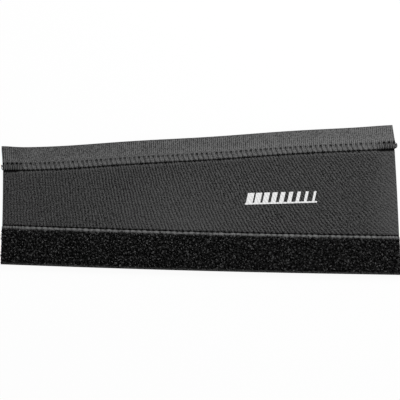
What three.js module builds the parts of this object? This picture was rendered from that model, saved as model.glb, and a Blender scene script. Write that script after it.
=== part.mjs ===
// Chainstay protector: a tapered neoprene wrap that closes round a bicycle's chainstay.
// A loop tape is sewn along its long edge, on the outer face, and a hook tape along its short edge.
// It lies open on a flat surface, outer face up, with the hooks facing down.
// Millimetres. X runs along the wrap to its wide end, Y from the loop tape to the hook tape, Z up.
// The origin is in the middle of the underside.

import * as THREE from "three";

// Outline of the open wrap
const lowerEdgeLength = 260.4;
const upperEdgeLength = 254.6;
const upperEdgeShift = -0.6; // the upper edge sits a little nearer the narrow end
const narrowWidth = 76.3;
const wideWidth = 97.3;
const lowerEdgeBow = 0.8; // the lower edge bows outwards by this much
const upperEdgeWaves = [0.44, 0.63, 0.08, 0.26, 0.21]; // how far its half waves, from 1 to 5, draw it in
const endBow = 0.4; // both cut ends lie bowed towards the wide end

// Neoprene sheet, pinched thinner wherever a seam pulls it in
const neopreneThickness = 3;
const seamPinch = 0.5; // dip of the outer face along a seam
const edgePinch = 0.35; // dip of the outer face at the edge of the loop tape
const creaseDepth = 0.8; // fold in front of the hook tape's sewn edge
const creaseOffset = 0.5; // from that edge to the bottom of the fold
const pinchReach = 1.3; // how far a pinch spreads into the plain neoprene
const undersidePinch = 0.75; // rise of the underside along a seam
const furrowShare = 0.9; // reach of the furrow under a straight seam, as a share of its selvedge's half

// Loop tape: woven ground with a bare selvedge on each side of the pile
const tapeThickness = 0.5;
const loopTapeWidth = 25;
const selvedgeWidth = 2;
const pileHeight = 1.8;
const pileShoulder = 0.7; // rounding of the pile's two long edges
const loopTapeOverhang = 0.2; // past the neoprene at both ends

// Hook tape: lapped onto the neoprene by its sewn edge, with rows of hooks under the free part
const hookTapeWidth = 14.7;
const hookTapeLap = 4.5;
const hookTapeFall = 3; // width over which it drops from the neoprene to the surface below
const hookTapeBevel = 0.45; // taper of its sewn edge
const hookHeight = 1.6;
const hookRows = 6;
const hookRowWidth = 0.6;
const hookFreeEdge = 1.5; // bare selvedge outside the last row
const hookTapeOverhangNarrow = 0.3; // past the neoprene at the narrow end
const hookTapeOverhangWide = 0.9; // and at the wide end
const hookTapeSlant = 1; // the wide end is cut back by this much at the free edge

// Sewing
const threadDiameter = 0.44;
const straightStitch = 3.87;
const zigzagPitchNarrow = 3.0; // the zigzag opens a little towards the wide end
const zigzagPitchWide = 3.35;
const zigzagWidth = 3.8;
const zigzagLean = 0.04; // how far the outer points lag behind the middle of a stitch
const backtackLength = 12; // both ends of a seam are sewn over at half the stitch length
const chainTail = 0.8; // thread standing out past each end of the zigzag
const stitchRise = 0.18; // a straight stitch stands this much higher between its needle holes

const nap = 0.1; // air left between two layers of cloth
const clearance = 0.05; // air left round a thread
const stations = 24; // cross-sections along the wrap
const topThreadSides = 4; // facets round an upper thread
const undersideThreadSides = 3;

// Places across the wrap, counted from its lower edge at the wide end
const outerSeam = selvedgeWidth / 2;
const innerSeam = loopTapeWidth - selvedgeWidth / 2;
const hookTapeEdge = wideWidth - hookTapeWidth;
const neopreneEdge = hookTapeEdge + hookTapeLap;
const crease = hookTapeEdge - creaseOffset;
const needleLine = hookTapeEdge + zigzagWidth;
const furrowReach = furrowShare * outerSeam;
const plainStart = loopTapeWidth + pinchReach;
const plainEnd = crease - pinchReach;

const threadRadius = threadDiameter / 2;
const laidThread = threadRadius + clearance;
const topFace = neopreneThickness;
const lappedTop = topFace - seamPinch;

// Even steps from one place to another, without the two ends
function between(start, end, height, count = 3) {
  const points = [];
  for (let i = 1; i <= count; i++) {
    points.push([THREE.MathUtils.lerp(start, end, i / (count + 1)), height]);
  }
  return points;
}

// Profiles run across the wrap as [place, height]
const neopreneTop = [
  [0, topFace - edgePinch],
  [outerSeam, topFace - seamPinch],
  [selvedgeWidth, topFace],
  [loopTapeWidth - selvedgeWidth, topFace],
  [innerSeam, topFace - seamPinch],
  [loopTapeWidth, topFace - edgePinch],
  [plainStart, topFace],
  ...between(plainStart, plainEnd, topFace),
  [plainEnd, topFace],
  [crease, topFace - creaseDepth],
  [hookTapeEdge, lappedTop],
  [neopreneEdge, lappedTop],
];

const neopreneUnderside = [
  [0, 0],
  [outerSeam - furrowReach, 0],
  [outerSeam, undersidePinch],
  [outerSeam + furrowReach, 0],
  [innerSeam - furrowReach, 0],
  [innerSeam, undersidePinch],
  [innerSeam + furrowReach, 0],
  ...between(plainStart, plainEnd, 0),
  [plainEnd, 0],
  [crease - threadRadius, undersidePinch],
  [neopreneEdge, undersidePinch],
];

const hookTapeUnderside = [
  [hookTapeEdge, lappedTop + nap],
  [neopreneEdge, lappedTop + nap],
  [neopreneEdge + hookTapeFall, hookHeight],
  [wideWidth, hookHeight],
];

function heightAt(profile, place) {
  const next = Math.max(
    1,
    profile.findIndex(([across]) => across >= place),
  );
  const [[startPlace, startHeight], [endPlace, endHeight]] = profile.slice(next - 1, next + 1);
  return THREE.MathUtils.mapLinear(place, startPlace, endPlace, startHeight, endHeight);
}

function raised(profile, height) {
  return profile.map(([place, base]) => [place, base + height]);
}

const loopTapeUnderside = raised(
  neopreneTop.filter(([place]) => place <= loopTapeWidth),
  nap,
);
const loopTapeTop = raised(loopTapeUnderside, tapeThickness);
const hookTapeTop = raised(hookTapeUnderside, tapeThickness);

function lowerEdge(along) {
  const halfWidth = THREE.MathUtils.lerp(narrowWidth, wideWidth, along) / 2;
  return new THREE.Vector3(
    (along - 0.5) * lowerEdgeLength,
    -halfWidth - lowerEdgeBow * Math.sin(Math.PI * along),
    0,
  );
}

function upperEdge(along) {
  const halfWidth = THREE.MathUtils.lerp(narrowWidth, wideWidth, along) / 2;
  const drawnIn = upperEdgeWaves.reduce(
    (sum, height, i) => sum + height * Math.sin((i + 1) * Math.PI * along),
    0,
  );
  return new THREE.Vector3(
    (along - 0.5) * upperEdgeLength + upperEdgeShift,
    halfWidth - drawnIn,
    0,
  );
}

// Where a place across the wrap falls, from 0 at the narrow end to 1 at the wide end.
// Both tapes keep their width, and only the plain neoprene between them takes up the taper.
function lay(along, place, height) {
  const lower = lowerEdge(along);
  const upper = upperEdge(along);
  const reach = lower.distanceTo(upper);
  const shortfall = wideWidth - reach;
  const moved = shortfall * THREE.MathUtils.clamp((place - plainStart) / (plainEnd - plainStart), 0, 1);
  const share = (place - moved) / reach;
  const point = lower.lerp(upper, share);
  point.x += endBow * Math.sin(Math.PI * share);
  point.z = height;
  return point;
}

// A strip of cloth: its cross-section swept from end to end and laid into the outline.
// Each overhang gives what the strip stands out past the outline at its lower and at its upper edge.
function layStrip(section, narrowOverhang = [0, 0], wideOverhang = [0, 0]) {
  const shape = new THREE.Shape(section.map(([place, height]) => new THREE.Vector2(place, height)));
  const geometry = new THREE.ExtrudeGeometry(shape, { depth: 1, steps: stations, bevelEnabled: false });
  const places = section.map(([place]) => place);
  const [first, last] = [Math.min(...places), Math.max(...places)];
  const position = geometry.getAttribute("position");
  for (let i = 0; i < position.count; i++) {
    const place = position.getX(i);
    const share = (place - first) / (last - first);
    const start = -THREE.MathUtils.lerp(...narrowOverhang, share) / lowerEdgeLength;
    const end = 1 + THREE.MathUtils.lerp(...wideOverhang, share) / lowerEdgeLength;
    const along = THREE.MathUtils.lerp(start, end, position.getZ(i));
    const point = lay(along, place, position.getY(i));
    position.setXYZ(i, point.x, point.y, point.z);
  }
  geometry.computeVertexNormals();
  return geometry;
}

// A thread's centre line, swept with one ring on each of its points
class ThreadLine extends THREE.Curve {
  constructor(points) {
    super();
    this.points = points;
  }

  getPoint(t, target = new THREE.Vector3()) {
    const place = t * (this.points.length - 1);
    const before = Math.min(Math.floor(place), this.points.length - 2);
    return target.lerpVectors(this.points[before], this.points[before + 1], place - before);
  }

  getUtoTmapping(u) {
    return u;
  }
}

function sweepThread(points, sides) {
  const corners = [];
  for (let i = 0; i < sides; i++) {
    const angle = (2 * Math.PI * i) / sides;
    corners.push(new THREE.Vector2(threadRadius * Math.cos(angle), threadRadius * Math.sin(angle)));
  }
  return new THREE.ExtrudeGeometry(new THREE.Shape(corners), {
    steps: points.length - 1,
    extrudePath: new ThreadLine(points),
    bevelEnabled: false,
  });
}

// Needle holes along a seam of the given length: half stitches at both ends, whole ones between
function needleHoles(length, firstStitch, lastStitch = firstStitch) {
  const holes = [];
  let at = 0;
  while (at < length) {
    holes.push(at);
    const whole = THREE.MathUtils.lerp(firstStitch, lastStitch, at / length);
    const tacked = at < backtackLength || at > length - backtackLength;
    at += tacked ? whole / 2 : whole;
  }
  return holes.map((hole) => (hole * length) / at).concat(length);
}

// A straight seam starts and ends a quarter stitch in from the cut ends
function straightSeamHoles() {
  const inset = straightStitch / 4;
  return needleHoles(lowerEdgeLength - 2 * inset, straightStitch).map((hole) => inset + hole);
}

// Upper thread of a straight seam: it dips into each needle hole and rises between two of them
function straightSeamTop(place, height) {
  return straightSeamHoles().flatMap((hole, i, holes) => {
    const dip = lay(hole / lowerEdgeLength, place, height);
    if (i === 0) return [dip];
    const crest = lay((holes[i - 1] + hole) / 2 / lowerEdgeLength, place, height + stitchRise);
    return [crest, dip];
  });
}

function straightSeamUnderside(place, height) {
  return straightSeamHoles().map((hole) => lay(hole / lowerEdgeLength, place, height));
}

// A thread's turn about one point: in beside it and out again
function turn(at, place, height) {
  return [at - threadRadius, at + threadRadius].map((x) => lay(x / upperEdgeLength, place, height));
}

// Zigzag seam: it turns at needle holes on the needle line and, between two of them, in the crease
function zigzagHoles() {
  return needleHoles(upperEdgeLength, zigzagPitchNarrow, zigzagPitchWide);
}

function outerTurnBetween(start, end) {
  return THREE.MathUtils.lerp(start, end, (1 - zigzagLean) / 2);
}

function zigzagTop() {
  const shoulder = hookTapeEdge + hookTapeBevel;
  const onNeedleLine = heightAt(hookTapeTop, needleLine) + laidThread;
  const onShoulder = heightAt(hookTapeTop, shoulder) + laidThread;
  const inCrease = heightAt(neopreneTop, crease) + laidThread / Math.cos(Math.PI / 4);
  const shoulderShare = (needleLine - shoulder) / (needleLine - crease);
  const overShoulder = (hole, outer) =>
    lay(THREE.MathUtils.lerp(hole, outer, shoulderShare) / upperEdgeLength, shoulder, onShoulder);
  return zigzagHoles().flatMap((hole, i, holes) => {
    const inner = turn(hole, needleLine, onNeedleLine);
    if (i === 0) return inner;
    const outer = outerTurnBetween(holes[i - 1], hole);
    return [
      overShoulder(holes[i - 1], outer),
      ...turn(outer, crease, inCrease),
      overShoulder(hole, outer),
      ...inner,
    ];
  });
}

function zigzagUnderside() {
  const height = undersidePinch - laidThread;
  return zigzagHoles().flatMap((hole, i, holes) => {
    const inner = turn(hole, needleLine, height);
    return i === 0 ? inner : [...turn(outerTurnBetween(holes[i - 1], hole), crease, height), ...inner];
  });
}

// The zigzag's loose ends stand out past both ends of the wrap, on the back of the hook tape
function withTails(points) {
  const tail = chainTail / upperEdgeLength;
  const place = (crease + needleLine) / 2;
  const height = heightAt(hookTapeTop, needleLine) + laidThread;
  return [lay(-tail, place, height), ...points, lay(1 + tail, place, height)];
}

function neoprenePanel() {
  return layStrip([...neopreneTop, ...[...neopreneUnderside].reverse()]);
}

function loopTape() {
  const pileTop = topFace + nap + tapeThickness + pileHeight;
  const pileStart = selvedgeWidth;
  const pileEnd = loopTapeWidth - selvedgeWidth;
  const section = [
    ...loopTapeTop.filter(([place]) => place <= pileStart),
    [pileStart, pileTop - pileShoulder],
    [pileStart + pileShoulder, pileTop],
    [pileEnd - pileShoulder, pileTop],
    [pileEnd, pileTop - pileShoulder],
    ...loopTapeTop.filter(([place]) => place >= pileEnd),
    ...[...loopTapeUnderside].reverse(),
  ];
  const overhang = [loopTapeOverhang, loopTapeOverhang];
  return layStrip(section, overhang, overhang);
}

function hookRowSections() {
  const first = neopreneEdge + hookRowWidth;
  const last = wideWidth - hookFreeEdge - hookRowWidth;
  const rows = [];
  for (let i = 0; i < hookRows; i++) {
    const start = THREE.MathUtils.lerp(first, last, i / (hookRows - 1));
    const root = heightAt(hookTapeUnderside, start);
    const end = start + hookRowWidth;
    const endRoot = heightAt(hookTapeUnderside, end);
    rows.push([start, root], [start, root - hookHeight], [end, endRoot - hookHeight], [end, endRoot]);
  }
  return rows;
}

function hookTape() {
  const [[edge, edgeUnder], [lapEnd, lapUnder], [fallEnd, freeUnder], [freeEdge]] = hookTapeUnderside;
  const below = [...hookTapeUnderside.slice(0, 2), ...hookRowSections(), [freeEdge, freeUnder]];
  const section = [
    ...below,
    [freeEdge, freeUnder + tapeThickness],
    [fallEnd, freeUnder + tapeThickness],
    [lapEnd, lapUnder + tapeThickness],
    [edge + hookTapeBevel, edgeUnder + tapeThickness],
    [edge, edgeUnder + nap],
  ];
  return layStrip(
    section,
    [hookTapeOverhangNarrow, hookTapeOverhangNarrow],
    [hookTapeOverhangWide, hookTapeOverhangWide - hookTapeSlant],
  );
}

function cloth(color, roughness) {
  return new THREE.MeshStandardMaterial({ color, roughness, metalness: 0 });
}

const neopreneCloth = cloth(0x3a3a3a, 0.9);
const tapeCloth = cloth(0x5a5a5a, 0.85);
const pileCloth = cloth(0x151515, 1);
const blackThread = cloth(0x2c2c2c, 0.6);

const chainstayProtector = new THREE.Group();

function add(name, geometry, material) {
  const mesh = new THREE.Mesh(geometry, material);
  mesh.name = name;
  chainstayProtector.add(mesh);
}

const onLoopTape = heightAt(loopTapeTop, outerSeam) + laidThread / Math.cos(Math.PI / 6);
const inFurrow = undersidePinch - laidThread / Math.cos(Math.PI / 4);

add("neoprene_panel", neoprenePanel(), neopreneCloth);
add("loop_tape", loopTape(), pileCloth);
add("hook_tape", hookTape(), tapeCloth);
for (const [name, place] of [
  ["loop_outer_seam", outerSeam],
  ["loop_inner_seam", innerSeam],
]) {
  const above = sweepThread(straightSeamTop(place, onLoopTape), topThreadSides);
  const below = sweepThread(straightSeamUnderside(place, inFurrow), undersideThreadSides);
  add(`${name}_needle_thread`, above, blackThread);
  add(`${name}_bobbin_thread`, below, blackThread);
}
add("hook_seam_needle_thread", sweepThread(withTails(zigzagTop()), topThreadSides), blackThread);
add("hook_seam_bobbin_thread", sweepThread(zigzagUnderside(), undersideThreadSides), blackThread);

export default chainstayProtector;
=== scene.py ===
# %% [markdown]
# # A chainstay protector in neoprene, with its hook tape and loop tape
#
# A chainstay protector is a strip of neoprene that closes round a bicycle's frame tube, so that the chain
# can't chip the paint. Open on the table it is three bands: the back of a grey hook tape, a knit-faced
# neoprene panel, and a black loop tape. This lesson dresses the measured model with cloth, thread and light.

import math

import bpy
import numpy as np
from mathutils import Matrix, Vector


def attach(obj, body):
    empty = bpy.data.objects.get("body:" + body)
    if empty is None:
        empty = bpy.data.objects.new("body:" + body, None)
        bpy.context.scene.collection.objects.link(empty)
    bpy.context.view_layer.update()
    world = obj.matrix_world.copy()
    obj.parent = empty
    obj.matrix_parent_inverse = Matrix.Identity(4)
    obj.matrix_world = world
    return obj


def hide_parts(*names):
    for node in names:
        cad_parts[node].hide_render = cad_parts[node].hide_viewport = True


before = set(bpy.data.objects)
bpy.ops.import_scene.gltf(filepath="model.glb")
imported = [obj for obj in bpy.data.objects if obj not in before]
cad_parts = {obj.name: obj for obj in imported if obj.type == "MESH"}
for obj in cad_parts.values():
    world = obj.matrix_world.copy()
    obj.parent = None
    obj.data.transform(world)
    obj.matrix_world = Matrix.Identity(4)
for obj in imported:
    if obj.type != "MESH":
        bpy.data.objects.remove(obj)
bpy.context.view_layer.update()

# %% [markdown]
# ## The pattern, and how it lies on the table
#
# A sewn textile is cut from a flat pattern, so every spot on it has two addresses: where it is on the pattern
# and where it came to rest. Here a spot is named by how far it is along the wrap, from 0 to 1, and by its
# place across the wrap in millimetres. One function lays such a spot on the table. Every cloth and every
# thread goes through it, so they all follow the same taper and the same slight bows.

# %% Sizes of the pattern, in millimetres
MM = 0.001
LOWER_EDGE = 260.4
UPPER_EDGE = 254.6
UPPER_EDGE_SHIFT = -0.6
NARROW_WIDTH = 76.3
WIDE_WIDTH = 97.3
LOWER_EDGE_BOW = 0.8
UPPER_EDGE_WAVES = (0.44, 0.63, 0.08, 0.26, 0.21)
END_BOW = 0.4

SHEET = 3.0
TAPE = 0.5
NAP = 0.1
LOOP_TAPE_WIDTH = 25.0
SELVEDGE = 2.0
HOOK_TAPE_WIDTH = 14.7
HOOK_TAPE_LAP = 4.5
HOOK_TAPE_FALL = 3.0
HOOK_HEIGHT = 1.6
ZIGZAG_WIDTH = 3.8

OUTER_SEAM = SELVEDGE / 2
INNER_SEAM = LOOP_TAPE_WIDTH - SELVEDGE / 2
HOOK_TAPE_EDGE = WIDE_WIDTH - HOOK_TAPE_WIDTH
SHEET_EDGE = HOOK_TAPE_EDGE + HOOK_TAPE_LAP
CREASE = HOOK_TAPE_EDGE - 0.5
NEEDLE_LINE = HOOK_TAPE_EDGE + ZIGZAG_WIDTH
PLAIN_START = LOOP_TAPE_WIDTH + 1.3
PLAIN_END = CREASE - 1.3


def lay(along, place, height):
    """Points in metres for spots on the pattern; along runs 0 to 1, place and height are in millimetres."""
    along, place, height = np.broadcast_arrays(along, place, height)
    half = (NARROW_WIDTH + (WIDE_WIDTH - NARROW_WIDTH) * along) / 2
    bow = LOWER_EDGE_BOW * np.sin(np.pi * along)
    wave = sum(depth * np.sin(i * np.pi * along) for i, depth in enumerate(UPPER_EDGE_WAVES, 1))
    lower = np.stack([(along - 0.5) * LOWER_EDGE, -half - bow], -1)
    upper = np.stack([(along - 0.5) * UPPER_EDGE + UPPER_EDGE_SHIFT, half - wave], -1)
    reach = np.linalg.norm(upper - lower, axis=-1)
    taken_up = (WIDE_WIDTH - reach) * np.clip((place - PLAIN_START) / (PLAIN_END - PLAIN_START), 0, 1)
    share = (place - taken_up) / reach
    spot = lower + (upper - lower) * share[..., None]
    return np.stack([spot[..., 0] + END_BOW * np.sin(np.pi * share), spot[..., 1], height], -1) * MM


print("narrow end:", lay(0.0, WIDE_WIDTH, 0).round(4), "wide end:", lay(1.0, WIDE_WIDTH, 0).round(4))

# %% [markdown]
# ## Heights across the wrap
#
# A seam pulls its cloth down, and soft cloth answers with a round hollow, not a sharp groove. So each
# cross-section is written as a few measured corners, and a small Gaussian blur rounds them off.

# %% Cross-sections
PROFILE_STEP = 0.02
EDGE_DIP, SEAM_DIP, CREASE_DIP = 0.35, 0.5, 0.85
TAPE_EDGE_DIP, TAPE_SEAM_DIP = 0.3, 0.42
FURROW_REACH, FURROW_DEPTH, ZIGZAG_FURROW_DEPTH = 0.9, 0.75, 0.72


def soft_profile(corners, softness):
    """A function from place to height that follows the corners with rounded turns."""
    reach = np.arange(-1, WIDE_WIDTH + 1, PROFILE_STEP)
    tail = np.arange(-3 * softness, 3 * softness + PROFILE_STEP, PROFILE_STEP)
    kernel = np.exp(-0.5 * (tail / softness) ** 2)
    padded = np.pad(np.interp(reach, *zip(*corners)), len(kernel) // 2, mode="edge")
    rounded = np.convolve(padded, kernel / kernel.sum(), mode="same")[len(kernel) // 2 :][: len(reach)]
    return lambda place: np.interp(place, reach, rounded)


sheet_top = soft_profile(
    [(0, SHEET - EDGE_DIP), (OUTER_SEAM, SHEET - SEAM_DIP), (SELVEDGE, SHEET)]
    + [(LOOP_TAPE_WIDTH - SELVEDGE, SHEET), (INNER_SEAM, SHEET - SEAM_DIP)]
    + [(LOOP_TAPE_WIDTH, SHEET - EDGE_DIP), (PLAIN_START, SHEET), (PLAIN_END, SHEET)]
    + [(CREASE, SHEET - CREASE_DIP), (HOOK_TAPE_EDGE, SHEET - SEAM_DIP - 0.1)]
    + [(SHEET_EDGE, SHEET - SEAM_DIP)],
    softness=0.22,
)
sheet_underside = soft_profile(
    [(OUTER_SEAM - FURROW_REACH, 0), (OUTER_SEAM, FURROW_DEPTH), (OUTER_SEAM + FURROW_REACH, 0)]
    + [(INNER_SEAM - FURROW_REACH, 0), (INNER_SEAM, FURROW_DEPTH), (INNER_SEAM + FURROW_REACH, 0)]
    + [(PLAIN_END, 0), (CREASE, ZIGZAG_FURROW_DEPTH), (SHEET_EDGE, ZIGZAG_FURROW_DEPTH)],
    softness=0.2,
)
loop_tape_underside = soft_profile(
    [(0, SHEET - TAPE_EDGE_DIP + NAP), (OUTER_SEAM, SHEET - TAPE_SEAM_DIP + NAP)]
    + [(SELVEDGE, SHEET + NAP), (LOOP_TAPE_WIDTH - SELVEDGE, SHEET + NAP)]
    + [(INNER_SEAM, SHEET - TAPE_SEAM_DIP + NAP), (LOOP_TAPE_WIDTH, SHEET - TAPE_EDGE_DIP + NAP)],
    softness=0.2,
)
hook_tape_underside = soft_profile(
    [(HOOK_TAPE_EDGE, SHEET - SEAM_DIP + NAP), (SHEET_EDGE, SHEET - SEAM_DIP + NAP)]
    + [(SHEET_EDGE + HOOK_TAPE_FALL, HOOK_HEIGHT), (WIDE_WIDTH, HOOK_HEIGHT)],
    softness=0.35,
)


def loop_tape_top(place):
    return loop_tape_underside(place) + TAPE


def hook_tape_top(place):
    return hook_tape_underside(place) + TAPE


print("crease:", float(sheet_top(CREASE).round(2)), "mm; plain neoprene:", float(sheet_top(50).round(2)), "mm")

# %% [markdown]
# ## Where the needle went
#
# Every stitch starts at a needle hole. A sewing machine feeds the cloth by a steady amount, and at both ends
# of the zigzag the sewer runs it back and forth, which halves the spacing. The zigzag opens a little towards
# the wide end. Knowing each hole lets the cloth dimple there, pucker between two stitches and hold the thread.
#
# No two stitches are pulled alike, so each gets its own pull, each hole its own depth, and each swelling of
# the loop tape's edge its own size. Where the seam runs back and forth, every second hole shows little.

# %% Needle holes and the zigzag's shape
THREAD = 0.44
STRAIGHT_STITCH = 3.87
ZIGZAG_PITCH = (3.0, 3.35)
ZIGZAG_LEAN = 0.04
BACKTACK = 12.0
BACKTACK_FADE = 4.0
OUTER_SHARE = (1 - ZIGZAG_LEAN) / 2


def needle_holes(length, first, last):
    """Distances of the holes from the seam's start."""
    holes, at = [], 0.0
    while at < length:
        holes.append(at)
        whole = first + (last - first) * at / length
        at += whole / 2 if at < BACKTACK or at > length - BACKTACK else whole
    return np.array([*(np.array(holes) * length / at), length])


def stitches(holes):
    """The first and last hole of every stitch."""
    return zip(holes[:-1], holes[1:])


def tacked(distance):
    """1 where the zigzag is sewn back and forth at its two ends, 0 in between."""
    return np.clip((BACKTACK + 1 - np.minimum(distance, UPPER_EDGE - distance)) / BACKTACK_FADE, 0, 1)


def in_stitch(distance, holes):
    """How far through its stitch each distance is, from 0 to 1, and that stitch's length and number."""
    index = np.clip(np.searchsorted(holes, distance, side="right") - 1, 0, len(holes) - 2)
    length = holes[index + 1] - holes[index]
    return (distance - holes[index]) / length, length, index


def hollow(distance, reach):
    """1 at no distance, fading smoothly to 0 a little past reach."""
    return np.exp(-((distance / reach) ** 2))


zigzag_holes = needle_holes(UPPER_EDGE, *ZIGZAG_PITCH)
seam_inset = STRAIGHT_STITCH / 4
straight_holes = seam_inset + needle_holes(LOWER_EDGE - 2 * seam_inset, STRAIGHT_STITCH, STRAIGHT_STITCH)

rng = np.random.default_rng(11)
stitch_pull = rng.uniform(0.5, 1.2, len(zigzag_holes))
hole_depth = rng.uniform(0.5, 1.6, len(zigzag_holes))
bead_size = rng.uniform(0.35, 1.25, len(straight_holes))
hole_depth[1::2] *= 1 - 0.8 * (tacked(zigzag_holes[1::2]) > 0)
print(len(zigzag_holes), "holes in the zigzag,", len(straight_holes), "in each straight seam")

# %% [markdown]
# ## A sheet of cloth from two height maps
#
# A sheet is two grids, its face and its back, joined round the rim. Both grids share one spacing, which is
# fine where there is sewing and coarse where the cloth is plain. Near the rim the two close in on each other
# by a quarter circle, so a cut edge catches light the way a real one does. Each point also carries named
# numbers. One that every cloth has is a mark of painted shade for its seams, and the materials read it to
# paint creases and needle holes dark.


# %% The sheet builder
def rim_spacing(length, step, corner):
    """Distances from 0 to length: close together within one corner of each end, then evenly spaced."""
    near = corner * np.array([0.0, 0.12, 0.4])
    middle = np.linspace(corner, length - corner, max(2, round((length - 2 * corner) / step) + 1))
    return np.concatenate([near, middle, (length - near)[::-1]])


def finer(places, centre, reach, step):
    """The same places with a fine run of them round one seam."""
    low, high = max(places[0], centre - reach), min(places[-1], centre + reach)
    kept = places[(places <= low) | (places >= high)]
    run = np.arange(low, high, step)[1:]
    run = run[high - run > step / 2]
    return np.sort(np.concatenate([kept, run]))


def to_rim(distance, start, end, place, low, high):
    """The distance of each spot from the nearest cut edge."""
    return np.minimum(np.minimum(distance - start, end - distance), np.minimum(place - low, high - place))


def rim_drop(distance, corner):
    """How far a rounded rim falls below the flat face at a distance from its edge."""
    inside = np.clip(corner - distance, 0, corner)
    return corner - np.sqrt(np.clip(corner**2 - inside**2, 0, None))


def grid_quads(shape):
    """The point numbers of every cell's corners in a grid, and the grid of point numbers."""
    spot = np.arange(shape[0] * shape[1]).reshape(shape)
    return np.stack([spot[:-1, :-1], spot[1:, :-1], spot[1:, 1:], spot[:-1, 1:]], -1).reshape(-1, 4), spot


def mesh_with_marks(name, points, edges, faces, **marks):
    """A mesh whose points carry named numbers, such as how deep in a seam they lie."""
    mesh = bpy.data.meshes.new(name)
    mesh.from_pydata(*(np.asarray(part).tolist() for part in (points, edges, faces)))
    for mark, values in marks.items():
        attribute = mesh.attributes.new(mark, "FLOAT", "POINT")
        attribute.data.foreach_set("value", np.asarray(values, np.float32).ravel())
    return mesh


def add_object(name, mesh):
    piece = bpy.data.objects.new(name, mesh)
    bpy.context.scene.collection.objects.link(piece)
    mesh.calc_loop_triangles()
    print(name, len(mesh.loop_triangles), "triangles")
    return piece


def sheet_object(name, along, place, face, back, **marks):
    """A closed sheet from the grids along and place, with heights face and back; its rim is material 1."""
    count = along.size
    points = np.concatenate([lay(along, place, face).reshape(-1, 3), lay(along, place, back).reshape(-1, 3)])
    quads, spot = grid_quads(along.shape)
    rim = np.concatenate([spot[0, ::-1], spot[1:, 0], spot[-1, 1:], spot[-2::-1, -1]])
    walls = np.stack([rim[:-1], rim[:-1] + count, rim[1:] + count, rim[1:]], -1)
    faces = np.concatenate([quads, quads[:, ::-1] + count, walls])
    below = {mark: np.append(values.ravel(), np.zeros(count)) for mark, values in marks.items()}
    mesh = mesh_with_marks(name, points, [], faces, **below)
    mesh.polygons.foreach_set("use_smooth", np.ones(len(faces), bool))
    on_rim = np.arange(len(faces)) >= 2 * len(quads)
    mesh.polygons.foreach_set("material_index", on_rim.astype(np.int32))
    return add_object(name, mesh)


# %% [markdown]
# ## The neoprene panel
#
# Neoprene is a closed-cell foam with a thin knit glued to each side. It is too thick to wrinkle, so it lies
# nearly flat and only puckers beside a seam: each zigzag stitch gathers the rubber into a small pillow below
# the fold. The fold is painted as a row of dark dashes, a painted shade, one where each stitch dives, and a
# solid line where the seam runs back and forth; a line of painted shade also runs beside the loop tape's edge.
# Beside the fold the knit on the pillow is painted paler, a painted highlight. A few slow swells of a tenth
# of a millimetre keep the plain area from looking like a board.

# %% Panel mesh
PANEL_CORNER = 0.5
PUCKER = 0.09
SWELL_HEIGHT, SWELL_LENGTH = 0.22, 46
SWELL_FADE = 8.0


def slow_swell(distance, place):
    """A gentle unevenness made of a few long waves in chosen directions."""
    directions = np.linspace(0, np.pi, 5, endpoint=False)
    swell = np.zeros(np.broadcast(distance, place).shape)
    for turn in directions:
        phase = rng.uniform(0, 2 * np.pi)
        length = SWELL_LENGTH * rng.uniform(0.7, 1.4)
        swell += np.sin((distance * np.cos(turn) + place * np.sin(turn)) * 2 * np.pi / length + phase)
    return swell * SWELL_HEIGHT / len(directions)


panel_distance = rim_spacing(LOWER_EDGE, 0.6, PANEL_CORNER)
panel_place = rim_spacing(SHEET_EDGE, 2.0, PANEL_CORNER)
panel_place = finer(panel_place, INNER_SEAM + 1.0, 3.0, 0.4)
panel_place = finer(panel_place, CREASE - 1.0, 4.0, 0.35)
distance, place = np.meshgrid(panel_distance, panel_place, indexing="ij")
rim = to_rim(distance, 0, LOWER_EDGE, place, 0, SHEET_EDGE)
beside_upper_edge = distance * UPPER_EDGE / LOWER_EDGE
zigzag_through, _, stitch_number = in_stitch(beside_upper_edge, zigzag_holes)
dive_wave = np.cos(2 * np.pi * (zigzag_through - OUTER_SHARE))
bead_wave = np.cos(2 * np.pi * in_stitch(distance, straight_holes)[0])
between_beads = 0.5 + 0.5 * bead_wave

pillow = -dive_wave * hollow(place - (CREASE - 1.0), 1.5)
pillow -= 0.6 * bead_wave * hollow(place - (LOOP_TAPE_WIDTH + 0.9), 1.2)
plain = np.clip((place - LOOP_TAPE_WIDTH) / SWELL_FADE, 0, 1) * np.clip((CREASE - place) / SWELL_FADE, 0, 1)
face = sheet_top(place) + PUCKER * pillow + slow_swell(distance, place) * plain - rim_drop(rim, PANEL_CORNER)
back = sheet_underside(place) + rim_drop(rim, PANEL_CORNER)

# Painted shade: dashes along the fold and a line beside the loop tape's edge. Below the fold, a painted
# highlight.
dive = (0.5 + 0.5 * dive_wave) * stitch_pull[stitch_number]
dive = np.maximum(dive, 1.35 * tacked(beside_upper_edge))
fold = hollow(place - CREASE - 0.15, 0.3 + 0.55 * dive) * (0.2 + 1.8 * dive)
fold += hollow(place - LOOP_TAPE_WIDTH - 0.6, 0.4 + 0.45 * between_beads) * (0.75 + 0.45 * between_beads)
panel = sheet_object(
    "neoprene_sheet",
    distance / LOWER_EDGE,
    place,
    face,
    back,
    pinch=np.clip(fold, 0, 1),
    stretched=hollow(place - CREASE + 1.5, 0.9),
)

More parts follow.
